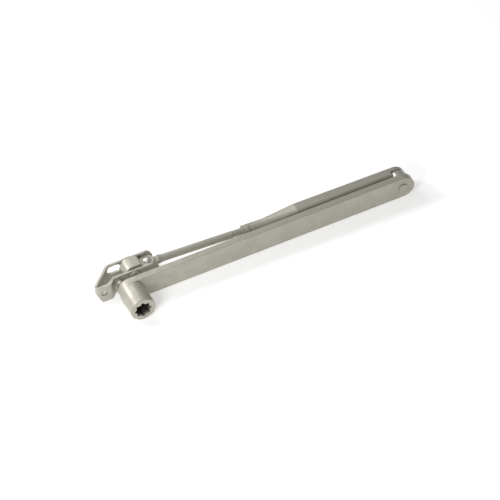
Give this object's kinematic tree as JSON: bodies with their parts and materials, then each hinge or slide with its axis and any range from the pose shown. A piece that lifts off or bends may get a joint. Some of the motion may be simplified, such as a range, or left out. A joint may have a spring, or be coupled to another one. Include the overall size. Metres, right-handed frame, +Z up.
{
  "type": "door closer double-lever arm",
  "caption": "Folding two-lever arm for an overhead door closer: flat main arm with socket boss, channel forearm, adjusting rod, knuckle and folded mounting shoe.",
  "frame": {"origin": "spindle axis, in the plane of the socket's mouth", "axes": "+X along the main arm from the spindle to the elbow, +Y along the pins from the socket's mouth to the back, +Z up across the width of the arm"},
  "size_m": [0.3348, 0.0686, 0.026],
  "materials": {
    "silver_paint": "satin aluminium paint on steel",
    "plated_steel": "bright zinc plate",
    "bare_steel": "plain pressed steel"
  },
  "bodies": {
    "main_arm": {"main_arm_bar": "silver_paint", "spindle_boss": "silver_paint", "elbow_pin": "silver_paint"},
    "forearm": {"forearm_channel": "silver_paint", "elbow_bush": "plated_steel", "elbow_washer": "plated_steel", "lock_collar": "silver_paint"},
    "rod": {"adjusting_rod": "silver_paint"},
    "knuckle": {"knuckle": "silver_paint", "cross_pin": "plated_steel"},
    "shoe": {"shoe_strap": "silver_paint", "shoe_pivot_pin": "silver_paint", "screw_spacer": "silver_paint", "wear_washer_near": "bare_steel", "wear_washer_far": "bare_steel", "pivot_tail_washer": "bare_steel"}
  },
  "joints": [
    {"name": "elbow", "type": "hinge", "parent": "main_arm", "child": "forearm", "pos_m": [0.29, 0.0425, 0], "axis": [0, 1, 0], "range_deg": [-175, 175]},
    {"name": "length_adjustment", "type": "slide", "parent": "forearm", "child": "rod", "axis": [-0.9983, 0.0576, 0], "range_m": [0, 0.014]},
    {"name": "knuckle_swivel", "type": "hinge", "parent": "rod", "child": "knuckle", "pos_m": [0.0278, 0.0552, 0], "axis": [0, 0, 1], "range_deg": [-18, 3]},
    {"name": "shoe_pivot", "type": "hinge", "parent": "knuckle", "child": "shoe", "pos_m": [0.0107, 0.0552, 0], "axis": [0, 1, 0], "range_deg": [-110, 110]}
  ]
}
